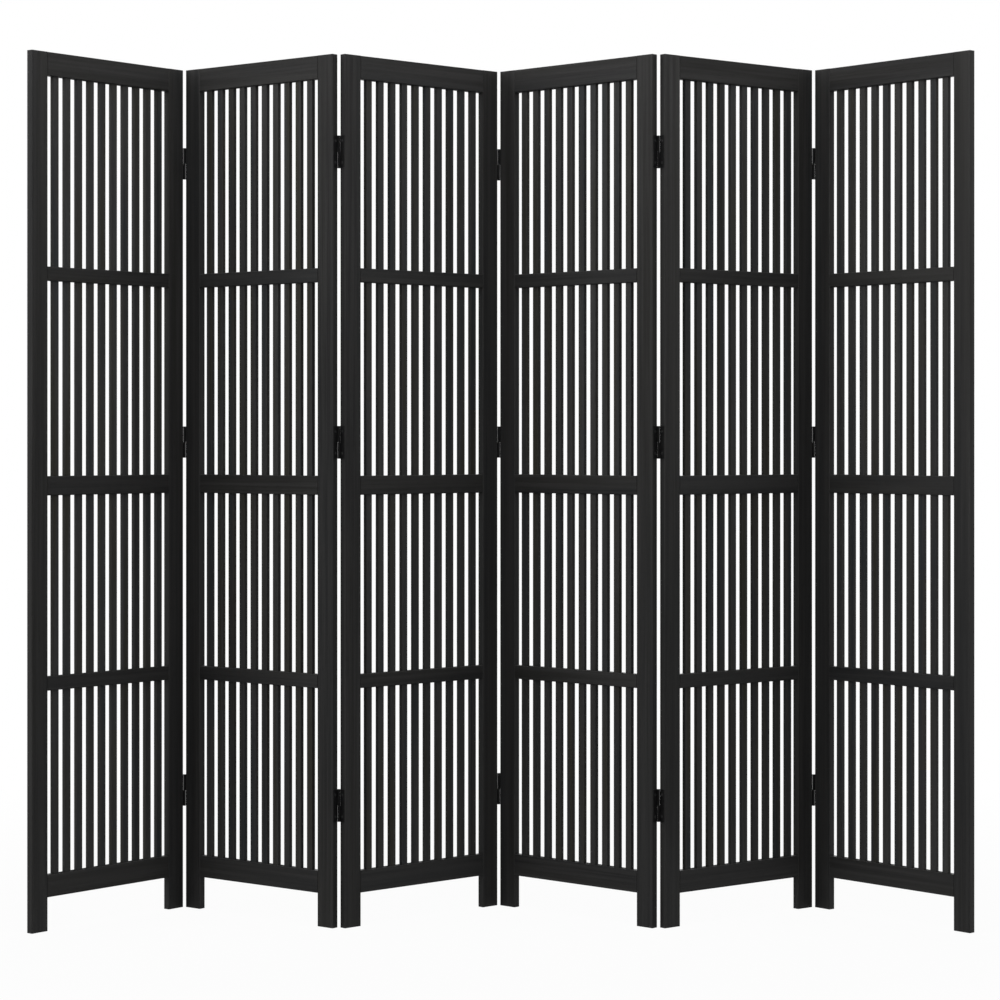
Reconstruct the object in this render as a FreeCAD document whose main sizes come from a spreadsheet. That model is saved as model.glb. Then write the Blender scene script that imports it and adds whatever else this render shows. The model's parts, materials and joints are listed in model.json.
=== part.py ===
import FreeCAD, Part
import math
import os
import Sketcher

# Slatted folding screen: six equal panels on five folds, standing in a zigzag.
# Each panel is a joinery frame of stiles, rails and crossbars filled with upright slats.
# Each fold has three butt hinges, with their pins in front of the odd folds and behind the even ones.
# Lengths are in millimetres and angles in degrees. +X runs along the screen, -Y faces the front, +Z is up.
# The origin is on the floor, under the middle of the box round the standing screen.

SIZES = {
    # Panel frame
    "panel_height": 1700,
    "panel_width": 400,
    "frame_thickness": 15,
    "stile_width": 40,
    "eased_edge": 1,
    # Rails and crossbars: levels run up to the underside, the drop runs down to the upper side
    "foot_height": 65,
    "bottom_rail_height": 43.5,
    "lower_crossbar_level": 464.5,
    "middle_rail_level": 842,
    "upper_crossbar_drop": 415,
    "crossbar_height": 27.5,
    "middle_rail_height": 37.5,
    "top_rail_height": 46,
    # Tenons of the rails and crossbars in the stiles
    "tenon_length": 22,
    "tenon_thickness": 5,
    "tenon_shoulder": 6,
    "joint_clearance": 0.1,
    # Slats, which stand in the bottom rail, pass the crossbars and end in the top rail
    "slat_count": 10,
    "slat_width": 14,
    "slat_depth": 9,
    "slat_seat": 12,
    "slat_clearance": 0.1,
    # Butt hinges: levels run from the floor to the lower end, the drop from the top to the upper end
    "low_hinge_level": 206,
    "middle_hinge_level": 913,
    "top_hinge_drop": 158,
    "hinge_height": 63.5,
    "leaf_thickness": 1.2,
    "leaf_margin": 1.5,
    "knuckle_clearance": 0.3,
    "knuckle_gap": 0.3,
    "pin_radius": 1.05,
    "pin_clearance": 0.05,
    "pin_offset": 1,
    # Turn of each panel out of the straight line, to the one side and the other by turns
    "panel_1_angle": 50.2,
    "panel_2_angle": 38.4,
    "panel_3_angle": 42.2,
    "panel_4_angle": 42.2,
    "panel_5_angle": 38.2,
    "panel_6_angle": 48.6,
}

# Lengths that several pieces share, worked out from the sheet
OPENING = "(Sizes.panel_width - 2 * Sizes.stile_width)"
BOTTOM_RAIL_TOP = "(Sizes.foot_height + Sizes.bottom_rail_height)"
TOP_RAIL_LEVEL = "(Sizes.panel_height - Sizes.top_rail_height)"
UPPER_CROSSBAR_LEVEL = "(Sizes.panel_height - Sizes.upper_crossbar_drop - Sizes.crossbar_height)"
SLAT_PITCH = f"(({OPENING} + Sizes.slat_width) / (Sizes.slat_count + 1))"
SLAT_ROW = f"({SLAT_PITCH} * (Sizes.slat_count - 1))"
SLAT_SLOT_DEPTH = "(Sizes.slat_depth + 2 * Sizes.slat_clearance)"
SLAT_SLOT_WIDTH = "(Sizes.slat_width + 2 * Sizes.slat_clearance)"
BORE_RADIUS = "(Sizes.pin_radius + Sizes.pin_clearance)"
KNUCKLE_RADIUS = f"({BORE_RADIUS} + Sizes.leaf_thickness)"
PLATE_START = f"({KNUCKLE_RADIUS} + Sizes.knuckle_clearance)"
LEAF_REACH = "(Sizes.pin_offset + Sizes.frame_thickness - Sizes.leaf_margin)"
# Two knuckles share the height of a hinge, one on each leaf
KNUCKLE_HEIGHT = "((Sizes.hinge_height - Sizes.knuckle_gap) / 2)"

# Underside and height of every member between the stiles
TOP_RAIL = [(TOP_RAIL_LEVEL, "Sizes.top_rail_height")]
MIDDLE_RAIL = [("Sizes.middle_rail_level", "Sizes.middle_rail_height")]
BOTTOM_RAIL = [("Sizes.foot_height", "Sizes.bottom_rail_height")]
CROSSBARS = [
    ("Sizes.lower_crossbar_level", "Sizes.crossbar_height"),
    (UPPER_CROSSBAR_LEVEL, "Sizes.crossbar_height"),
]

PANEL_COUNT = 6
UP = FreeCAD.Vector(0, 0, 1)
ALONG = FreeCAD.Vector(1, 0, 0)
HALF_TURN = FreeCAD.Placement(FreeCAD.Vector(), FreeCAD.Rotation(UP, 180))
UPSIDE_DOWN = FreeCAD.Rotation(FreeCAD.Vector(0, 1, 0), 180)

doc = FreeCAD.newDocument("FoldingScreen")


def fill_sheet():
    """Keep every driving dimension in a cell with its own alias."""
    sheet = doc.addObject("Spreadsheet::Sheet", "Sizes")
    for row, (name, value) in enumerate(SIZES.items(), 1):
        sheet.set(f"A{row}", name)
        sheet.set(f"B{row}", str(value))
        sheet.setAlias(f"B{row}", name)
    doc.recompute()
    return sheet


def origin_feature(body, role):
    """A plane or axis of the body's own origin."""
    return next(feature for feature in body.Origin.OriginFeatures if feature.Role == role)


def new_body(name):
    return doc.addObject("PartDesign::Body", name)


def new_sketch(body, name, role, offset=None):
    """A sketch on one of the body's origin planes, moved along its normal where an offset is given."""
    sketch = body.newObject("Sketcher::SketchObject", name)
    sketch.AttachmentSupport = [(origin_feature(body, role), "")]
    sketch.MapMode = "FlatFace"
    if offset:
        sketch.setExpression("AttachmentOffset.Base.z", offset)
    return sketch


def join(sketch, line, point, next_line, next_point):
    """Make the points of two lines, or of a line and an arc, one."""
    sketch.addConstraint(Sketcher.Constraint("Coincident", line, point, next_line, next_point))


def hold(sketch, kind, line, point, distance):
    """Hold a point of the sketch at one distance from the sketch's origin, starting where it is drawn."""
    drawn = sketch.getPoint(line, point)
    start = drawn.x if kind == "DistanceX" else drawn.y
    number = sketch.addConstraint(Sketcher.Constraint(kind, -1, 1, line, point, start))
    sketch.setExpression(f"Constraints[{number}]", distance)


def pin_point(sketch, line, point, across, up):
    hold(sketch, "DistanceX", line, point, across)
    hold(sketch, "DistanceY", line, point, up)


def draw_outline(sketch, corners):
    """A closed outline of straight lines, drawn as a unit polygon and then held at its corners."""
    first = sketch.GeometryCount
    count = len(corners)
    turns = [2 * math.pi * number / count for number in range(count)]
    points = [FreeCAD.Vector(math.cos(turn), math.sin(turn), 0) for turn in turns]
    for number in range(count):
        sketch.addGeometry(Part.LineSegment(points[number], points[(number + 1) % count]))
    for number, (across, up) in enumerate(corners):
        following = first + (number + 1) % count
        join(sketch, first + number, 2, following, 1)
        pin_point(sketch, first + number, 1, across, up)


def draw_rectangle(sketch, left, low, right, high):
    draw_outline(sketch, [(left, low), (right, low), (right, high), (left, high)])


def draw_circle(sketch, radius):
    """A circle round the sketch's origin."""
    circle = sketch.addGeometry(Part.Circle(FreeCAD.Vector(), UP, 1))
    join(sketch, circle, 3, -1, 1)
    number = sketch.addConstraint(Sketcher.Constraint("Radius", circle, 1))
    sketch.setExpression(f"Constraints[{number}]", radius)


def pad(body, sketch, name, length, symmetric=False):
    """Raise a sketch to a solid, to one side of its plane or evenly to both."""
    feature = body.newObject("PartDesign::Pad", name)
    feature.Profile = sketch
    feature.SideType = "Symmetric" if symmetric else "One side"
    feature.setExpression("Length", length)
    doc.recompute()
    return feature


def pocket(body, sketch, name, length=None, forward=False):
    """Cut a sketch into the body, against its normal or along it, and right through without a length."""
    before = body.Shape.Volume
    feature = body.newObject("PartDesign::Pocket", name)
    feature.Profile = sketch
    feature.Reversed = forward
    if length:
        feature.setExpression("Length", length)
    else:
        feature.Type = "ThroughAll"
    doc.recompute()
    if body.Shape.Volume >= before:
        raise RuntimeError(f"{name} cuts nothing")
    return feature


def pattern(body, features, name, role, length, count):
    """Repeat features along an axis of the body, over a length from the first copy to the last."""
    feature = body.newObject("PartDesign::LinearPattern", name)
    feature.Originals = features
    feature.Direction = (origin_feature(body, role), [""])
    feature.setExpression("Length", length)
    feature.setExpression("Occurrences", count)
    body.Tip = feature
    doc.recompute()
    return feature


def ease_edges(body, feature, name, axis):
    """Take the sharp corner off every edge that runs along an axis."""
    edges = []
    for number, edge in enumerate(feature.Shape.Edges, 1):
        direction = edge.tangentAt(edge.FirstParameter)
        if abs(round(direction.dot(axis), 6)) == 1:
            edges.append(f"Edge{number}")
    eased = body.newObject("PartDesign::Chamfer", name)
    eased.Base = (feature, edges)
    eased.setExpression("Size", "Sizes.eased_edge")
    doc.recompute()


def make_stile():
    """The left upright, with a mortise for every rail and crossbar. Half a turn makes it the right one."""
    body = new_body("Stile")
    section = new_sketch(body, "StileSection", "XY_Plane")
    outer = "(-Sizes.panel_width / 2)"
    face = "(Sizes.frame_thickness / 2)"
    draw_rectangle(section, outer, f"-{face}", f"{outer} + Sizes.stile_width", face)
    upright = pad(body, section, "Upright", "Sizes.panel_height")
    ease_edges(body, upright, "StileEasedEdges", UP)

    mortises = new_sketch(body, "MortiseOutlines", "YZ_Plane")
    cheek = "(Sizes.tenon_thickness / 2 + Sizes.joint_clearance)"
    shoulder = "(Sizes.tenon_shoulder - Sizes.joint_clearance)"
    for level, height in TOP_RAIL + MIDDLE_RAIL + BOTTOM_RAIL + CROSSBARS:
        low = f"{level} + {shoulder}"
        high = f"{level} + {height} - {shoulder}"
        draw_rectangle(mortises, f"-{cheek}", low, cheek, high)
    pocket(body, mortises, "Mortises", f"{OPENING} / 2 + Sizes.tenon_length + Sizes.joint_clearance")
    return body


def make_bars(name, bars):
    """Bars of full thickness between the stiles, with eased edges and a tenon at each end."""
    body = new_body(name)
    faces = new_sketch(body, f"{name}Faces", "XZ_Plane")
    tenons = new_sketch(body, f"{name}TenonFaces", "XZ_Plane")
    end = f"({OPENING} / 2)"
    tenon_end = f"({end} + Sizes.tenon_length)"
    for level, height in bars:
        draw_rectangle(faces, f"-{end}", level, end, f"{level} + {height}")
        low = f"{level} + Sizes.tenon_shoulder"
        high = f"{level} + {height} - Sizes.tenon_shoulder"
        draw_rectangle(tenons, f"-{tenon_end}", low, tenon_end, high)
    lengths = pad(body, faces, f"{name}Lengths", "Sizes.frame_thickness", symmetric=True)
    ease_edges(body, lengths, f"{name}EasedEdges", ALONG)
    pad(body, tenons, f"{name}Tenons", "Sizes.tenon_thickness", symmetric=True)
    return body


def cut_slat_slot(body, name, level=None, depth=None, forward=True):
    """One long slot for all the slats: right through the bars, or a groove from a level to a depth."""
    outline = new_sketch(body, f"{name}Outline", "XY_Plane", level)
    end = f"(({SLAT_ROW} + {SLAT_SLOT_WIDTH}) / 2)"
    face = f"({SLAT_SLOT_DEPTH} / 2)"
    draw_rectangle(outline, f"-{end}", f"-{face}", end, face)
    pocket(body, outline, name, depth, forward)


def make_top_rail():
    body = make_bars("TopRail", TOP_RAIL)
    cut_slat_slot(body, "TopRailGroove", TOP_RAIL_LEVEL, "Sizes.slat_seat")
    return body


def make_bottom_rail():
    body = make_bars("BottomRail", BOTTOM_RAIL)
    cut_slat_slot(body, "BottomRailGroove", BOTTOM_RAIL_TOP, "Sizes.slat_seat", forward=False)
    return body


def make_middle_rail():
    body = make_bars("MiddleRail", MIDDLE_RAIL)
    cut_slat_slot(body, "MiddleRailSlot")
    return body


def make_crossbars():
    body = make_bars("Crossbars", CROSSBARS)
    cut_slat_slot(body, "CrossbarSlots")
    return body


def make_slats():
    """The row of slats, each in one length from the bottom rail to the top rail."""
    body = new_body("Slats")
    low = f"({BOTTOM_RAIL_TOP} - Sizes.slat_seat + Sizes.slat_clearance)"
    high = f"({TOP_RAIL_LEVEL} + Sizes.slat_seat - Sizes.slat_clearance)"
    section = new_sketch(body, "SlatSection", "XY_Plane", low)
    middle = f"(-{SLAT_ROW} / 2)"
    side = "(Sizes.slat_width / 2)"
    face = "(Sizes.slat_depth / 2)"
    draw_rectangle(section, f"{middle} - {side}", f"-{face}", f"{middle} + {side}", face)
    first = pad(body, section, "FirstSlat", f"{high} - {low}")
    pattern(body, [first], "SlatRow", "X_Axis", SLAT_ROW, "Sizes.slat_count")
    return body


def draw_knuckle(sketch):
    """The section of a leaf rolled round the pin: an arc that runs on into the leaf's back."""
    radius = sketch.evalExpression(KNUCKLE_RADIUS)
    bore = sketch.evalExpression(BORE_RADIUS)
    plate = sketch.evalExpression(PLATE_START)
    back_low = FreeCAD.Vector(-radius, 0, 0)
    back_high = FreeCAD.Vector(-radius, plate, 0)
    front_high = FreeCAD.Vector(-bore, plate, 0)
    front_low = FreeCAD.Vector(-bore, math.sqrt(radius**2 - bore**2), 0)
    back = sketch.addGeometry(Part.LineSegment(back_low, back_high))
    seam = sketch.addGeometry(Part.LineSegment(back_high, front_high))
    front = sketch.addGeometry(Part.LineSegment(front_high, front_low))
    roll = sketch.addGeometry(Part.Arc(back_low, FreeCAD.Vector(radius, 0, 0), front_low))
    join(sketch, back, 2, seam, 1)
    join(sketch, seam, 2, front, 1)
    join(sketch, front, 2, roll, 2)
    join(sketch, roll, 1, back, 1)
    join(sketch, roll, 3, -1, 1)
    pin_point(sketch, back, 1, f"-{KNUCKLE_RADIUS}", "0")
    pin_point(sketch, seam, 1, f"-{KNUCKLE_RADIUS}", PLATE_START)
    pin_point(sketch, front, 1, f"-{BORE_RADIUS}", PLATE_START)
    hold(sketch, "DistanceX", front, 2, f"-{BORE_RADIUS}")


def make_leaf(name):
    """A hinge leaf to the left of the pin's axis: a plate, and a knuckle rolled from its lower half."""
    body = new_body(name)
    plate = new_sketch(body, f"{name}PlateSection", "XY_Plane")
    draw_rectangle(plate, f"-{KNUCKLE_RADIUS}", PLATE_START, f"-{BORE_RADIUS}", LEAF_REACH)
    pad(body, plate, f"{name}Plate", "Sizes.hinge_height")
    rolled = new_sketch(body, f"{name}KnuckleSection", "XY_Plane")
    draw_knuckle(rolled)
    pad(body, rolled, f"{name}Knuckle", KNUCKLE_HEIGHT)
    return body


def make_pin_leaf():
    """The leaf with the lower knuckle, which has no bore because the pin is pressed into it."""
    return make_leaf("PinLeaf")


def make_turning_leaf():
    """The leaf that turns on the pin, with a bore. Set in upside down, it has the upper knuckle."""
    body = make_leaf("TurningLeaf")
    bore = new_sketch(body, "BoreSection", "XY_Plane")
    draw_circle(bore, BORE_RADIUS)
    pocket(body, bore, "Bore", forward=True)
    return body


def make_pin():
    """The hinge pin, flush with both ends of the barrel."""
    pin = doc.addObject("Part::Cylinder", "Pin")
    pin.setExpression("Radius", "Sizes.pin_radius")
    pin.setExpression("Height", "Sizes.hinge_height")
    return pin


def at_three_levels(piece, upside_down=False):
    """Three copies of a hinge piece, at the heights of a fold's three hinges."""
    levels = {
        "Low": "Sizes.low_hinge_level",
        "Middle": "Sizes.middle_hinge_level",
        "Top": "Sizes.panel_height - Sizes.top_hinge_drop - Sizes.hinge_height",
    }
    copies = []
    for word, level in levels.items():
        copy = doc.addObject("App::Link", f"{word}{piece.Name}")
        copy.LinkedObject = piece
        if upside_down:
            copy.Placement = FreeCAD.Placement(FreeCAD.Vector(), UPSIDE_DOWN)
            level = f"{level} + Sizes.hinge_height"
        copy.setExpression("Placement.Base.z", level)
        copies.append(copy)
    return copies


def pin_side(fold):
    """Depth of a fold's pin axis in its panels: in front of the odd folds and behind the even ones."""
    depth = sheet.frame_thickness / 2 + sheet.pin_offset
    return -depth if fold % 2 else depth


def pin_reach():
    """Distance of a pin's axis from the middle of its panel, along the panel."""
    return sheet.panel_width / 2 + sheet.evalExpression(KNUCKLE_RADIUS)


def stand_panels():
    """Placements of the six panels, chained from pin to pin and centred on the origin."""
    panels = []
    for fold in range(PANEL_COUNT):
        angle = sheet.get(f"panel_{fold + 1}_angle")
        rotation = FreeCAD.Rotation(UP, -angle if fold % 2 else angle)
        middle = FreeCAD.Vector()
        if panels:
            pin = panels[-1].multVec(FreeCAD.Vector(pin_reach(), pin_side(fold), 0))
            middle = pin - rotation.multVec(FreeCAD.Vector(-pin_reach(), pin_side(fold), 0))
        panels.append(FreeCAD.Placement(middle, rotation))

    box = FreeCAD.BoundBox()
    for panel in panels:
        for across in (-sheet.panel_width / 2, sheet.panel_width / 2):
            for depth in (-sheet.frame_thickness / 2, sheet.frame_thickness / 2):
                box.add(panel.multVec(FreeCAD.Vector(across, depth, 0)))
    centring = FreeCAD.Placement(-box.Center, FreeCAD.Rotation())
    return [centring.multiply(panel) for panel in panels]


def place(label, pieces, placement):
    """A sub-part of the screen: copies of modelled pieces, moved together to where they belong."""
    node = doc.addObject("Part::Compound", label)
    node.Label = label
    node.Links = pieces
    node.Placement = placement
    return node


def place_panel(number, placement):
    """The seven wooden sub-parts of one panel."""
    nodes = [
        place(f"panel_{number}_{name}", [piece], placement)
        for name, piece in PANEL_PIECES.items()
    ]
    turned = placement.multiply(HALF_TURN)
    nodes.append(place(f"panel_{number}_right_stile", [PANEL_PIECES["left_stile"]], turned))
    return nodes


def place_fold(fold, left_panel, right_panel):
    """The leaves and pins of one fold. Half a turn of the hinges puts their pins at the back."""
    turn = FreeCAD.Placement() if fold % 2 else HALF_TURN
    left_pin = FreeCAD.Placement(FreeCAD.Vector(pin_reach(), pin_side(fold), 0), FreeCAD.Rotation())
    right_pin = FreeCAD.Placement(FreeCAD.Vector(-pin_reach(), pin_side(fold), 0), FreeCAD.Rotation())
    left = left_panel.multiply(left_pin).multiply(turn)
    right = right_panel.multiply(right_pin).multiply(turn)
    left_leaves, right_leaves = (PIN_LEAVES, TURNING_LEAVES) if fold % 2 else (TURNING_LEAVES, PIN_LEAVES)
    print(f"fold {fold} axis at x {left.Base.x:.4f} y {left.Base.y:.4f}")
    return [
        place(f"fold_{fold}_left_leaves", left_leaves, left),
        place(f"fold_{fold}_right_leaves", right_leaves, right),
        place(f"fold_{fold}_pins", PINS, left if fold % 2 else right),
    ]


def check_document():
    """Stop where an object failed or a sub-part has no sound solid."""
    for item in doc.Objects:
        if {"Invalid", "Error"} & set(item.State):
            raise RuntimeError(f"{item.Label} did not build")
    for node in nodes:
        if node.Shape.isNull() or not node.Shape.isValid() or not node.Shape.Solids:
            raise RuntimeError(f"{node.Label} has no sound solid")


def write_parts():
    os.makedirs("parts", exist_ok=True)
    for node in nodes:
        node.Shape.exportStep(f"parts/{node.Label}.step")


sheet = fill_sheet()

PANEL_PIECES = {
    "left_stile": make_stile(),
    "top_rail": make_top_rail(),
    "middle_rail": make_middle_rail(),
    "bottom_rail": make_bottom_rail(),
    "crossbars": make_crossbars(),
    "slats": make_slats(),
}
PIN_LEAVES = at_three_levels(make_pin_leaf())
TURNING_LEAVES = at_three_levels(make_turning_leaf(), upside_down=True)
PINS = at_three_levels(make_pin())

panels = stand_panels()
nodes = []
for number, placement in enumerate(panels, 1):
    nodes += place_panel(number, placement)
for fold in range(1, len(panels)):
    nodes += place_fold(fold, panels[fold - 1], panels[fold])
doc.recompute()
check_document()
write_parts()
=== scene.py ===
import json
import math

import bmesh
import bpy
from mathutils import Matrix, Vector


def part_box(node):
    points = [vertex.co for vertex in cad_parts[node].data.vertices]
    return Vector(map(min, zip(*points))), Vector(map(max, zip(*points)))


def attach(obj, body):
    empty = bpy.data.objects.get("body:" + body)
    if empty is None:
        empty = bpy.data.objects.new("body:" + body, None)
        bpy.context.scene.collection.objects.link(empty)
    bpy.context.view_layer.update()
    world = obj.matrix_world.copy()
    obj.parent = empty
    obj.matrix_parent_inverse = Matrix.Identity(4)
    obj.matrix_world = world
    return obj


# Looks of a black slatted folding screen: six panels in a zigzag, joined by black butt hinges.
# Lengths are in metres, in the frame of the solids: +X along the screen, -Y to the front, +Z up.

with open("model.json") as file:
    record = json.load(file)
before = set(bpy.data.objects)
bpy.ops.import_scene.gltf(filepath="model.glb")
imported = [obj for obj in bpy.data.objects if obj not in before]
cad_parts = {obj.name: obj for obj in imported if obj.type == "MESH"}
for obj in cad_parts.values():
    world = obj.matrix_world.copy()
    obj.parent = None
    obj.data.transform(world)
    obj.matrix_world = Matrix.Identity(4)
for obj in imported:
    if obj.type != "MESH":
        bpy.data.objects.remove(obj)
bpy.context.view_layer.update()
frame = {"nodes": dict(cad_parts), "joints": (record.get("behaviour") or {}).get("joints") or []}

PANELS = range(1, 7)
FOLDS = range(1, 6)
STILES = ("left_stile", "right_stile")
BARS = ("top_rail", "middle_rail", "bottom_rail", "crossbars")
SLATS = ("slats",)
LEAVES = ("left_leaves", "right_leaves")

# Soft edges of the pieces
WOOD_EDGE = 0.0006
HINGE_EDGE = 0.00015
EDGE_SEGMENTS = 3
WELD_REACH = 0.000001
FACET_ANGLE = math.radians(1)
CORNER_ANGLE = math.radians(25)

# Colours of the stained wood
STAIN_DARK = (0.0074, 0.0074, 0.0076, 1.0)
STAIN_LIGHT = (0.0174, 0.0173, 0.0172, 1.0)
SLAT_LIGHT = (0.0350, 0.0348, 0.0344, 1.0)
STAIN_WARM = (0.0180, 0.0165, 0.0112, 1.0)
STAIN_COOL = (0.0112, 0.0140, 0.0162, 1.0)
STAIN_STREAK = (0.0245, 0.0241, 0.0236, 1.0)
STAIN_FIBRE = (0.0205, 0.0203, 0.0201, 1.0)
STAIN_PORE = (0.005, 0.005, 0.005, 1.0)
STAIN_RUBBED = (0.026, 0.0256, 0.0252, 1.0)
END_GRAIN_DARK = (0.007, 0.007, 0.007, 1.0)
END_GRAIN_LIGHT = (0.013, 0.0128, 0.0125, 1.0)

# How strongly the stock is marked: the slats are cut from livelier wood than the frame
FRAME_MARKS = {"light": STAIN_LIGHT, "tint_share": 0.15, "streak_share": 0.75, "tint_scale": (23, 0.9)}
SLAT_MARKS = {"light": SLAT_LIGHT, "tint_share": 0.8, "streak_share": 1.0, "tint_scale": (46, 2.2)}

# Marks of the grain per metre, across it and along it
BAND_SCALE = (14, 1.3)
STRIP_SCALE = (34, 0.5)
STREAK_SCALE = (130, 2.2)
FIBRE_SCALE = (420, 9)
PORE_SCALE = (1500, 60)
SPECKLE_SCALE = (900, 900)
FILM_SCALE = 700
GRAIN_SHIFT = (9.1, 2.3, 7.7)

# The part of each noise from which a mark grows to its full share
NOISE_SPAN = (0.3, 0.7)
WARM_SPAN = (0.5, 0.68)
COOL_SPAN = (0.5, 0.32)
STREAK_SPAN = (0.42, 0.72)
FIBRE_SPAN = (0.35, 0.75)
PORE_SPAN = (0.62, 0.72)
SPECKLE_SPAN = (0.4, 0.7)
END_FACING_SPAN = (0.8, 0.95)
BAND_SHARE = 0.45
STRIP_SHARE = 0.55
FIBRE_SHARE = 0.5
PORE_SHARE = 0.5
RUBBED_SHARES = (0.1, 0.45)

# Satin gloss and relief of the stain
STAIN_SPECULAR = 0.075
STREAK_ROUGHNESS = (0.50, 0.38)
FIBRE_ROUGHNESS = (-0.03, 0.05)
END_ROUGHNESS = 0.2
FIBRE_RISE_SHARE = 0.6
PORE_DEPTH_SHARE = 0.5
GRAIN_RELIEF = 0.0002
GRAIN_STRENGTH = 0.35
FILM_RELIEF = 0.00004
FILM_STRENGTH = 0.25

# Rubbed edges: their reach, and the cosine of the turned normal from a flat face to an edge
WOOD_RUB_REACH = 0.0016
HINGE_RUB_REACH = 0.0005
EDGE_COSINES = (0.995, 0.85)

# Black coat of the hinges, steel of the pins and black steel of the screws
COAT_TONES = ((0.003, 0.003, 0.0031, 1.0), (0.006, 0.006, 0.0061, 1.0))
PIN_TONES = ((0.02, 0.02, 0.02, 1.0), (0.035, 0.035, 0.036, 1.0))
SCREW_TONES = ((0.012, 0.012, 0.012, 1.0), (0.03, 0.03, 0.031, 1.0))
COAT_METAL = 0.0
PIN_METAL = 0.8
SCREW_METAL = 0.7
COAT_WORN = (0.06, 0.06, 0.061, 1.0)
COAT_SPECULAR = 0.07
CLOUD_SCALE = 180
SPECK_SCALE = 2600
WORN_SPAN = (0.35, 0.65)
WORN_SHARES = (0.15, 0.6)
CLOUD_ROUGHNESS = (0.34, 0.44)
SPECK_ROUGHNESS = (-0.03, 0.03)
SPECK_RELIEF = 0.00003
SPECK_STRENGTH = 0.3

# Film of paint on the leaves, and the reach round a pin's axis that stays bare
COAT_THICKNESS = 0.00012
BARE_REACH = 0.0015

# Hinges: undersides, height, plate, and the pin's distance from the edge of a panel
HINGE_LEVELS = (0.206, 0.913, 1.4785)
HINGE_HEIGHT = 0.0635
LEAF_THICKNESS = 0.0012
LEAF_SPAN = (0.0026, 0.0145)
PIN_TO_EDGE = 0.0023

# Screws: head, crown and cross recess, and how far each is turned from the last
SCREW_RADIUS = 0.0027
SCREW_RISE = 0.0003
SCREW_INSET = 0.0105
SCREW_SIDES = 28
RIM_RADIUS_SHARE = 0.93
RIM_RISE_SHARE = 0.6
CROWN_RADIUS_SHARE = 0.74
RECESS_REACH_SHARE = 0.62
RECESS_HALF_SHARE = 0.17
RECESS_FLOOR_SHARE = 0.7
RECESS_DEPTH = 0.0008
SPIN_PER_FOLD = 0.7
SPIN_PER_LEVEL = 1.3
SPIN_PER_END = 2.1
SPIN_PER_PANEL = 1.0

# Camera at the photograph's angle
CAMERA_PLACE = Vector((-0.0021, -5.5365, 0.9563))
CAMERA_LENS = 100.52
SENSOR_WIDTH = 36.0
HORIZON_SHIFT = -0.0636

# White floor: it glows a little less near the screen, where it keeps the shadow
WHITE = (1.0, 1.0, 1.0, 1.0)
FLOOR_HALF = 14.0
FLOOR_BOUNCE = (0.27, 0.27, 0.27, 1.0)
SHADOW_NEAR = 0.9
SHADOW_FAR = 2.4
NEAR_GLOW = 0.96

# Room light: its strength from low to high directions, and the share of it from either side
ROOM_LOW = -0.25
ROOM_HIGH = 0.45
ROOM_DARK = 0.07
ROOM_LIGHT = 0.58
LEFT_SHARE = 1.15
RIGHT_SHARE = 0.8

# Lamps: place, width and power, all turned to one point of the screen
LAMPS = {
    "left_softbox": ((-3.4, -1.7, 2.8), 2.2, 92),
    "right_softbox": ((3.4, -1.7, 2.8), 2.2, 38),
    "top_softbox": ((0.0, -1.1, 3.9), 2.4, 112),
    "back_softbox": ((0.6, 3.6, 3.0), 2.2, 120),
    "front_softbox": ((0.0, -5.0, 1.8), 3.0, 48),
}
LOOK_AT = Vector((0.0, 0.0, 0.9))


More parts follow.
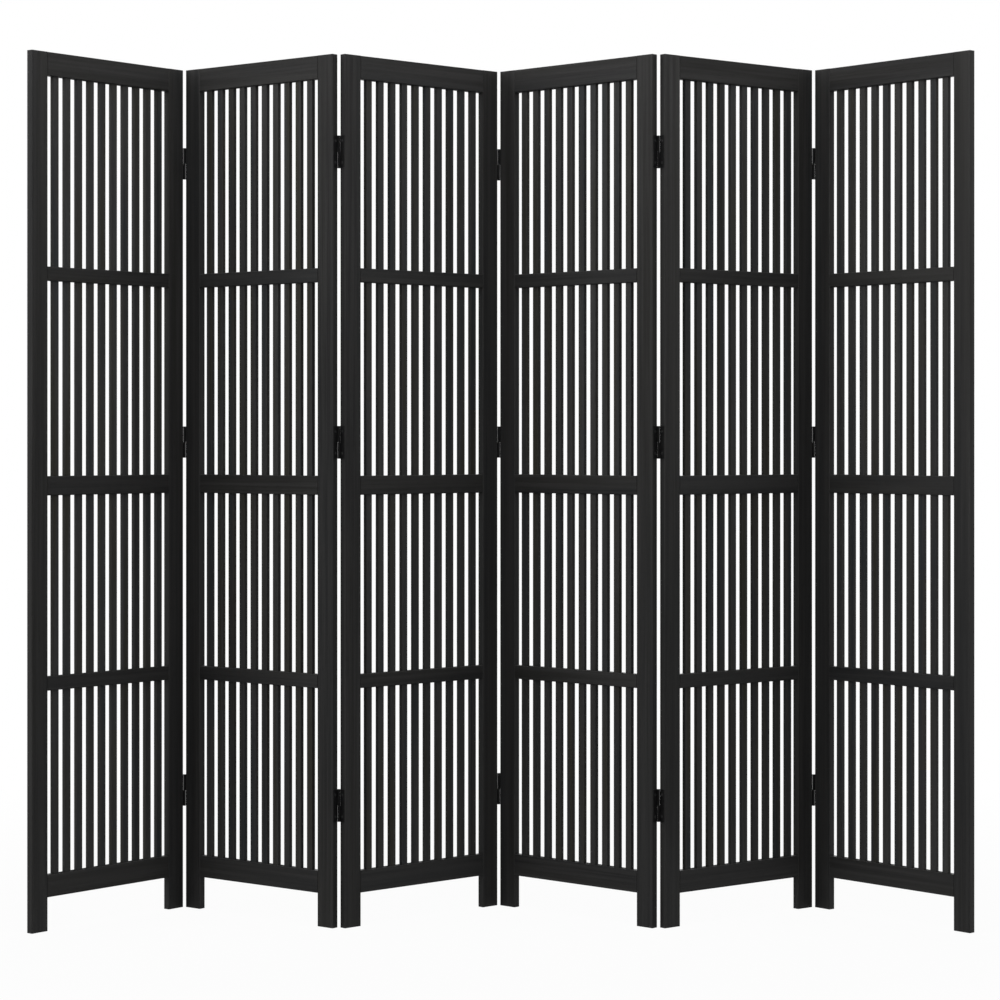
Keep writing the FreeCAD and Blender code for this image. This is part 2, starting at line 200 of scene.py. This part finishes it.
class Graph:
    """The nodes of one material, with short calls to add and link them."""

    def __init__(self, name):
        self.material = bpy.data.materials.new(name)
        self.material.use_nodes = True
        self.tree = self.material.node_tree
        self.tree.nodes.clear()

    def add(self, kind, **settings):
        """Add a node with its settings."""
        node = self.tree.nodes.new(kind)
        for key, value in settings.items():
            setattr(node, key, value)
        return node

    def feed(self, socket, value):
        """Link an output to a socket, or set the socket's own value."""
        if isinstance(value, bpy.types.NodeSocket):
            self.tree.links.new(value, socket)
        else:
            socket.default_value = value

    def calculate(self, operation, first, second=0.0):
        """Work out one number from two."""
        node = self.add("ShaderNodeMath", operation=operation)
        self.feed(node.inputs[0], first)
        self.feed(node.inputs[1], second)
        return node.outputs[0]

    def vector(self, operation, first, second):
        """Work out a vector, or the product of two directions."""
        node = self.add("ShaderNodeVectorMath", operation=operation)
        self.feed(node.inputs[0], first)
        self.feed(node.inputs[1], second)
        return node.outputs["Value"] if operation == "DOT_PRODUCT" else node.outputs["Vector"]

    def turned(self, vector, rotation, kind="POINT"):
        """Turn a point or a normal about the origin."""
        node = self.add("ShaderNodeMapping", vector_type=kind)
        self.feed(node.inputs["Vector"], vector)
        node.inputs["Rotation"].default_value = rotation
        return node.outputs[0]

    def spread(self, value, low, high, to_low, to_high):
        """Map a value from one range to another, held at the ends."""
        node = self.add("ShaderNodeMapRange")
        for socket, number in zip(node.inputs, (value, low, high, to_low, to_high)):
            self.feed(socket, number)
        return node.outputs[0]

    def noise(self, vector, scale=1.0, detail=2.0, roughness=0.5):
        """Cloudy values round one half."""
        node = self.add("ShaderNodeTexNoise")
        self.feed(node.inputs["Vector"], vector)
        self.feed(node.inputs["Scale"], scale)
        self.feed(node.inputs["Detail"], detail)
        self.feed(node.inputs["Roughness"], roughness)
        return node.outputs[0]

    def grain_noise(self, grain, scales, detail, roughness=0.5):
        """Noise with one scale across the grain and another along it."""
        across, along = scales
        stretched = self.vector("MULTIPLY", grain, (across, across, along))
        return self.noise(stretched, detail=detail, roughness=roughness)

    def mix_colour(self, share, first, second):
        """Blend from the first colour to the second."""
        node = self.add("ShaderNodeMix", data_type="RGBA")
        self.feed(node.inputs[0], share)
        self.feed(node.inputs[6], first)
        self.feed(node.inputs[7], second)
        return node.outputs[2]

    def bump(self, height, distance, strength, normal=None):
        """Lean the normals by a relief, on top of an earlier one where it is given."""
        node = self.add("ShaderNodeBump")
        self.feed(node.inputs["Height"], height)
        self.feed(node.inputs["Distance"], distance)
        self.feed(node.inputs["Strength"], strength)
        if normal:
            self.feed(node.inputs["Normal"], normal)
        return node.outputs["Normal"]

    def edge_share(self, reach, samples=4):
        """How far a point lies on a corner: 0 on a flat face, towards 1 on an edge."""
        rounded = self.add("ShaderNodeBevel", samples=samples)
        self.feed(rounded.inputs["Radius"], reach)
        plain = self.add("ShaderNodeNewGeometry")
        cosine = self.vector("DOT_PRODUCT", rounded.outputs[0], plain.outputs["Normal"])
        return self.spread(cosine, *EDGE_COSINES, 0.0, 1.0)

    def seen_share(self):
        """1 for rays that meet the white background: from the camera, and through gloss and glass."""
        rays = self.add("ShaderNodeLightPath")
        share = self.calculate("MAXIMUM", rays.outputs["Is Camera Ray"], rays.outputs["Is Glossy Ray"])
        return self.calculate("MAXIMUM", share, rays.outputs["Is Transmission Ray"])

    def finish(self, colour, roughness, normal, **constants):
        """End in one surface shader. Constants are set on its own sockets."""
        shader = self.add("ShaderNodeBsdfPrincipled")
        for key, value in constants.items():
            shader.inputs[key.replace("_", " ")].default_value = value
        self.feed(shader.inputs["Base Color"], colour)
        self.feed(shader.inputs["Roughness"], roughness)
        self.feed(shader.inputs["Normal"], normal)
        output = self.add("ShaderNodeOutputMaterial")
        self.feed(output.inputs["Surface"], shader.outputs[0])
        return self.material


class WorldGraph(Graph):
    """The same short calls for the surroundings."""

    def __init__(self, world):
        world.use_nodes = True
        self.tree = world.node_tree
        self.tree.nodes.clear()


def box_middle(node):
    """Middle of a node's box at rest."""
    low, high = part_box(node)
    return (low + high) / 2


def panel_turn(panel):
    """Angle of a panel out of the X axis, from the places of its stiles."""
    along = box_middle(f"panel_{panel}_right_stile") - box_middle(f"panel_{panel}_left_stile")
    return math.atan2(along.y, along.x)


def panel_matrix(panel):
    """From a panel's own frame, X along it and the floor at its middle, to the frame of the solids."""
    middle = (box_middle(f"panel_{panel}_right_stile") + box_middle(f"panel_{panel}_left_stile")) / 2
    middle.z = 0
    return Matrix.Translation(middle) @ Matrix.Rotation(panel_turn(panel), 4, "Z")


def grain_coordinates(graph, turn, crosswise):
    """Coordinates with the grain along Z, moved apart from piece to piece, and normals to match."""
    place = graph.add("ShaderNodeTexCoord")
    along = graph.turned(place.outputs["Object"], (0, 0, -turn))
    normal = graph.turned(place.outputs["Normal"], (0, 0, -turn), "NORMAL")
    if crosswise:
        along = graph.turned(along, (0, math.pi / 2, 0))
        normal = graph.turned(normal, (0, math.pi / 2, 0), "NORMAL")
    piece = graph.add("ShaderNodeObjectInfo")
    shift = graph.add("ShaderNodeCombineXYZ")
    for axis, step in enumerate(GRAIN_SHIFT):
        graph.feed(shift.inputs[axis], graph.calculate("MULTIPLY", piece.outputs["Random"], step))
    return graph.vector("ADD", along, shift.outputs[0]), normal


def end_grain_share(graph, normal):
    """1 on faces that the grain runs out of, 0 on faces along it."""
    parts = graph.add("ShaderNodeSeparateXYZ")
    graph.feed(parts.inputs[0], normal)
    return graph.spread(graph.calculate("ABSOLUTE", parts.outputs["Z"]), *END_FACING_SPAN, 0.0, 1.0)


def stain_colour(graph, grain, marks):
    """Bands and strips of dark and light stain, some of them warmer or cooler."""
    broad = graph.grain_noise(grain, BAND_SCALE, detail=3.0)
    strip = graph.grain_noise(grain, STRIP_SCALE, detail=1.0)
    tint = graph.grain_noise(grain, marks["tint_scale"], detail=1.0)
    bands = graph.spread(broad, *NOISE_SPAN, 0.0, BAND_SHARE)
    strips = graph.spread(strip, *NOISE_SPAN, 0.0, STRIP_SHARE)
    colour = graph.mix_colour(graph.calculate("ADD", bands, strips), STAIN_DARK, marks["light"])
    warm = graph.spread(tint, *WARM_SPAN, 0.0, marks["tint_share"])
    cool = graph.spread(tint, *COOL_SPAN, 0.0, marks["tint_share"])
    colour = graph.mix_colour(warm, colour, STAIN_WARM)
    return graph.mix_colour(cool, colour, STAIN_COOL)


def end_grain_colour(graph, grain):
    """Fine speckles of cut fibres."""
    speckles = graph.grain_noise(grain, SPECKLE_SCALE, detail=2.0)
    share = graph.spread(speckles, *SPECKLE_SPAN, 0.0, 1.0)
    return graph.mix_colour(share, END_GRAIN_DARK, END_GRAIN_LIGHT)


def wood_material(name, turn, crosswise, marks):
    """Black satin stain on close-grained wood: fibres, pores, end grain and rubbed edges."""
    graph = Graph(name)
    grain, normal = grain_coordinates(graph, turn, crosswise)
    streaks = graph.grain_noise(grain, STREAK_SCALE, detail=2.0, roughness=0.6)
    fibres = graph.grain_noise(grain, FIBRE_SCALE, detail=3.0, roughness=0.6)
    pores = graph.spread(graph.grain_noise(grain, PORE_SCALE, detail=1.0), *PORE_SPAN, 0.0, 1.0)
    film = graph.noise(grain, FILM_SCALE, detail=1.0)
    end_share = end_grain_share(graph, normal)

    colour = stain_colour(graph, grain, marks)
    streak_share = graph.spread(streaks, *STREAK_SPAN, 0.0, marks["streak_share"])
    colour = graph.mix_colour(streak_share, colour, STAIN_STREAK)
    fibre_share = graph.spread(fibres, *FIBRE_SPAN, 0.0, FIBRE_SHARE)
    colour = graph.mix_colour(fibre_share, colour, STAIN_FIBRE)
    colour = graph.mix_colour(graph.calculate("MULTIPLY", pores, PORE_SHARE), colour, STAIN_PORE)
    colour = graph.mix_colour(end_share, colour, end_grain_colour(graph, grain))
    rubbed = graph.spread(fibres, *NOISE_SPAN, *RUBBED_SHARES)
    rubbed = graph.calculate("MULTIPLY", graph.edge_share(WOOD_RUB_REACH), rubbed)
    colour = graph.mix_colour(rubbed, colour, STAIN_RUBBED)

    satin = graph.spread(streaks, *NOISE_SPAN, *STREAK_ROUGHNESS)
    satin = graph.calculate("ADD", satin, graph.spread(fibres, *NOISE_SPAN, *FIBRE_ROUGHNESS))
    satin = graph.calculate("ADD", satin, graph.calculate("MULTIPLY", end_share, END_ROUGHNESS))
    rise = graph.calculate("MULTIPLY", fibres, FIBRE_RISE_SHARE)
    depth = graph.calculate("MULTIPLY", pores, PORE_DEPTH_SHARE)
    relief = graph.bump(graph.calculate("SUBTRACT", rise, depth), GRAIN_RELIEF, GRAIN_STRENGTH)
    relief = graph.bump(film, FILM_RELIEF, FILM_STRENGTH, relief)
    return graph.finish(colour, satin, relief, Specular_IOR_Level=STAIN_SPECULAR)


def hinge_material(name, tones, metallic):
    """Black hinge finish: an even coat with a fine texture, rubbed lighter on its edges."""
    graph = Graph(name)
    place = graph.add("ShaderNodeTexCoord").outputs["Object"]
    cloud = graph.noise(place, CLOUD_SCALE, detail=3.0)
    speck = graph.noise(place, SPECK_SCALE, detail=2.0)
    colour = graph.mix_colour(graph.spread(cloud, *NOISE_SPAN, 0.0, 1.0), *tones)
    worn = graph.spread(cloud, *WORN_SPAN, *WORN_SHARES)
    worn = graph.calculate("MULTIPLY", graph.edge_share(HINGE_RUB_REACH), worn)
    colour = graph.mix_colour(worn, colour, COAT_WORN)
    satin = graph.spread(cloud, *NOISE_SPAN, *CLOUD_ROUGHNESS)
    satin = graph.calculate("ADD", satin, graph.spread(speck, *NOISE_SPAN, *SPECK_ROUGHNESS))
    relief = graph.bump(speck, SPECK_RELIEF, SPECK_STRENGTH)
    return graph.finish(colour, satin, relief, Metallic=metallic, Specular_IOR_Level=COAT_SPECULAR)


def soften(piece, width):
    """Round the hard edges of a solid a little."""
    weld = piece.modifiers.new("join", "WELD")
    weld.merge_threshold = WELD_REACH
    flat = piece.modifiers.new("flat", "DECIMATE")
    flat.decimate_type = "DISSOLVE"
    flat.angle_limit = FACET_ANGLE
    rounding = piece.modifiers.new("rounding", "BEVEL")
    rounding.width = width
    rounding.segments = EDGE_SEGMENTS
    rounding.limit_method = "ANGLE"
    rounding.angle_limit = CORNER_ANGLE
    rounding.harden_normals = True


def paint_leaves(piece, pin):
    """Lay a film of paint over the leaves on one side of a fold. The bore round the pin stays bare."""
    painted = piece.vertex_groups.new(name="painted")
    for corner in piece.data.vertices:
        if (corner.co - pin).xy.length > BARE_REACH:
            painted.add([corner.index], 1.0, "REPLACE")
    film = piece.modifiers.new("film", "DISPLACE")
    film.vertex_group = painted.name
    film.mid_level = 0.0
    film.strength = COAT_THICKNESS


def dress(piece, material):
    """Give a solid its one material."""
    piece.data.materials.clear()
    piece.data.materials.append(material)


def dress_panels():
    """Stained wood for every panel, with the grain along each piece."""
    for panel in PANELS:
        turn = panel_turn(panel)
        woods = {
            STILES: wood_material(f"stile_wood_{panel}", turn, False, FRAME_MARKS),
            BARS: wood_material(f"bar_wood_{panel}", turn, True, FRAME_MARKS),
            SLATS: wood_material(f"slat_wood_{panel}", turn, False, SLAT_MARKS),
        }
        for words, wood in woods.items():
            for word in words:
                piece = frame["nodes"][f"panel_{panel}_{word}"]
                dress(piece, wood)
                soften(piece, WOOD_EDGE)


def dress_hinges():
    """Black paint on the leaves and dark steel on the pins of every fold."""
    coat = hinge_material("hinge_coat", COAT_TONES, COAT_METAL)
    steel = hinge_material("pin_steel", PIN_TONES, PIN_METAL)
    for fold, joint in zip(FOLDS, frame["joints"]):
        for word in LEAVES:
            piece = frame["nodes"][f"fold_{fold}_{word}"]
            dress(piece, coat)
            soften(piece, HINGE_EDGE)
            paint_leaves(piece, Vector(joint["pos_m"]))
        piece = frame["nodes"][f"fold_{fold}_pins"]
        dress(piece, steel)
        soften(piece, HINGE_EDGE)


def cross_outline(reach, half):
    """Corners of a plus sign, anticlockwise."""
    corner = [(reach, -half), (reach, half), (half, half)]
    points = []
    for quarter in range(4):
        turn = Matrix.Rotation(quarter * math.pi / 2, 2)
        points += [turn @ Vector(point) for point in corner]
    return points


def circle_outline(radius):
    """Corners of a round with many sides, anticlockwise."""
    turns = [2 * math.pi * side / SCREW_SIDES for side in range(SCREW_SIDES)]
    return [Vector((radius * math.cos(turn), radius * math.sin(turn))) for turn in turns]


def screw_mesh():
    """A countersunk screw head, slightly crowned, with a cross recess. It faces +Z and sits on Z 0."""
    shape = bmesh.new()

    def ring(outline, height):
        return [shape.verts.new((point.x, point.y, height)) for point in outline]

    def join(lower, upper):
        faces = []
        for side in range(len(lower)):
            following = (side + 1) % len(lower)
            faces.append(shape.faces.new((lower[side], lower[following], upper[following], upper[side])))
        return faces

    def loop_edges(corners):
        return [shape.edges.get((corners[side - 1], corners[side])) for side in range(len(corners))]

    seat = ring(circle_outline(SCREW_RADIUS), 0)
    rim = ring(circle_outline(SCREW_RADIUS * RIM_RADIUS_SHARE), SCREW_RISE * RIM_RISE_SHARE)
    crown = ring(circle_outline(SCREW_RADIUS * CROWN_RADIUS_SHARE), SCREW_RISE)
    join(seat, rim)
    join(rim, crown)
    shape.faces.new(list(reversed(seat)))
    cross = cross_outline(SCREW_RADIUS * RECESS_REACH_SHARE, SCREW_RADIUS * RECESS_HALF_SHARE)
    mouth = ring(cross, SCREW_RISE)
    floor = ring([point * RECESS_FLOOR_SHARE for point in cross], SCREW_RISE - RECESS_DEPTH)
    for wall in join(floor, mouth):
        wall.normal_flip()
    shape.faces.new(floor)
    rims = loop_edges(crown) + loop_edges(mouth)
    bmesh.ops.triangle_fill(shape, use_beauty=True, edges=rims, normal=(0, 0, 1))
    bmesh.ops.recalc_face_normals(shape, faces=list(shape.faces))
    mesh = bpy.data.meshes.new("screw")
    shape.to_mesh(mesh)
    shape.free()
    return mesh


def set_screws():
    """Two screws in every leaf, facing across the gap between two panels."""
    mesh = screw_mesh()
    mesh.materials.append(hinge_material("screw_black", SCREW_TONES, SCREW_METAL))
    for fold, joint in zip(FOLDS, frame["joints"]):
        for panel in (fold, fold + 1):
            panel_frame = panel_matrix(panel)
            pin = panel_frame.inverted() @ Vector(joint["pos_m"])
            side = math.copysign(1, pin.x)
            inward = -math.copysign(1, pin.y)
            face = pin.x - side * (PIN_TO_EDGE - LEAF_THICKNESS - COAT_THICKNESS)
            depth = pin.y + inward * sum(LEAF_SPAN) / 2
            turn = Matrix.Rotation(side * math.pi / 2, 4, "Y")
            for level, height in enumerate(HINGE_LEVELS):
                for end, up in enumerate((SCREW_INSET, HINGE_HEIGHT - SCREW_INSET)):
                    name = f"screw_{fold}_{panel}_{level + 1}_{end + 1}"
                    screw = bpy.data.objects.new(name, mesh)
                    bpy.context.scene.collection.objects.link(screw)
                    angle = SPIN_PER_FOLD * fold + SPIN_PER_PANEL * panel
                    angle += SPIN_PER_LEVEL * level + SPIN_PER_END * end
                    spin = Matrix.Rotation(angle, 4, "Z")
                    place = Matrix.Translation((face, depth, height + up))
                    screw.matrix_world = panel_frame @ place @ turn @ spin
                    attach(screw, f"panel_{panel}")


def floor_material():
    """White to the eye, with a faint shadow near the screen, and a dull bounce of light."""
    graph = Graph("floor_white")
    place = graph.add("ShaderNodeNewGeometry")
    distance = graph.add("ShaderNodeVectorMath", operation="LENGTH")
    graph.feed(distance.inputs[0], place.outputs["Position"])
    glow_share = graph.spread(distance.outputs["Value"], SHADOW_NEAR, SHADOW_FAR, NEAR_GLOW, 1.0)
    plain = graph.add("ShaderNodeBsdfDiffuse")
    plain.inputs["Color"].default_value = FLOOR_BOUNCE
    glow = graph.add("ShaderNodeEmission")
    glow.inputs["Color"].default_value = WHITE
    blend = graph.add("ShaderNodeMixShader")
    graph.feed(blend.inputs[0], graph.calculate("MULTIPLY", graph.seen_share(), glow_share))
    graph.feed(blend.inputs[1], plain.outputs[0])
    graph.feed(blend.inputs[2], glow.outputs[0])
    output = graph.add("ShaderNodeOutputMaterial")
    graph.feed(output.inputs["Surface"], blend.outputs[0])
    return graph.material


def make_floor():
    """A wide level floor under the screen."""
    mesh = bpy.data.meshes.new("floor")
    corners = [(-FLOOR_HALF, -FLOOR_HALF, 0), (FLOOR_HALF, -FLOOR_HALF, 0)]
    corners += [(FLOOR_HALF, FLOOR_HALF, 0), (-FLOOR_HALF, FLOOR_HALF, 0)]
    mesh.from_pydata(corners, [], [(0, 1, 2, 3)])
    mesh.materials.append(floor_material())
    floor = bpy.data.objects.new("floor", mesh)
    bpy.context.scene.collection.objects.link(floor)


def make_surroundings():
    """White behind the screen, and a soft room light that is brightest above and to the left."""
    world = bpy.data.worlds.new("studio")
    bpy.context.scene.world = world
    graph = WorldGraph(world)
    direction = graph.add("ShaderNodeTexCoord")
    parts = graph.add("ShaderNodeSeparateXYZ")
    graph.feed(parts.inputs[0], direction.outputs["Generated"])
    rise = graph.spread(parts.outputs["Z"], ROOM_LOW, ROOM_HIGH, ROOM_DARK, ROOM_LIGHT)
    side = graph.spread(parts.outputs["X"], -1.0, 1.0, LEFT_SHARE, RIGHT_SHARE)
    room = graph.calculate("MULTIPLY", rise, side)
    level = graph.add("ShaderNodeMix")
    graph.feed(level.inputs[0], graph.seen_share())
    graph.feed(level.inputs[2], room)
    graph.feed(level.inputs[3], 1.0)
    light = graph.add("ShaderNodeBackground")
    light.inputs["Color"].default_value = WHITE
    graph.feed(light.inputs["Strength"], level.outputs[0])
    output = graph.add("ShaderNodeOutputWorld")
    graph.feed(output.inputs["Surface"], light.outputs[0])


def make_lamp(name, place, width, power):
    """A soft square lamp that faces the screen."""
    lamp = bpy.data.lights.new(name, "AREA")
    lamp.size = width
    lamp.energy = power
    holder = bpy.data.objects.new(name, lamp)
    holder.location = place
    holder.rotation_mode = "QUATERNION"
    holder.rotation_quaternion = (LOOK_AT - Vector(place)).to_track_quat("-Z", "Y")
    bpy.context.scene.collection.objects.link(holder)


def make_camera():
    """A level camera in front of the screen, shifted down to take in the floor."""
    data = bpy.data.cameras.new("camera")
    data.lens = CAMERA_LENS
    data.sensor_width = SENSOR_WIDTH
    data.shift_y = HORIZON_SHIFT
    camera = bpy.data.objects.new("camera", data)
    camera.location = CAMERA_PLACE
    camera.rotation_euler = (math.pi / 2, 0, 0)
    bpy.context.scene.collection.objects.link(camera)
    bpy.context.scene.camera = camera


dress_panels()
dress_hinges()
set_screws()
make_floor()
make_surroundings()
for lamp_name, (lamp_place, lamp_width, lamp_power) in LAMPS.items():
    make_lamp(lamp_name, lamp_place, lamp_width, lamp_power)
make_camera()
bpy.context.scene.view_settings.view_transform = "Standard"
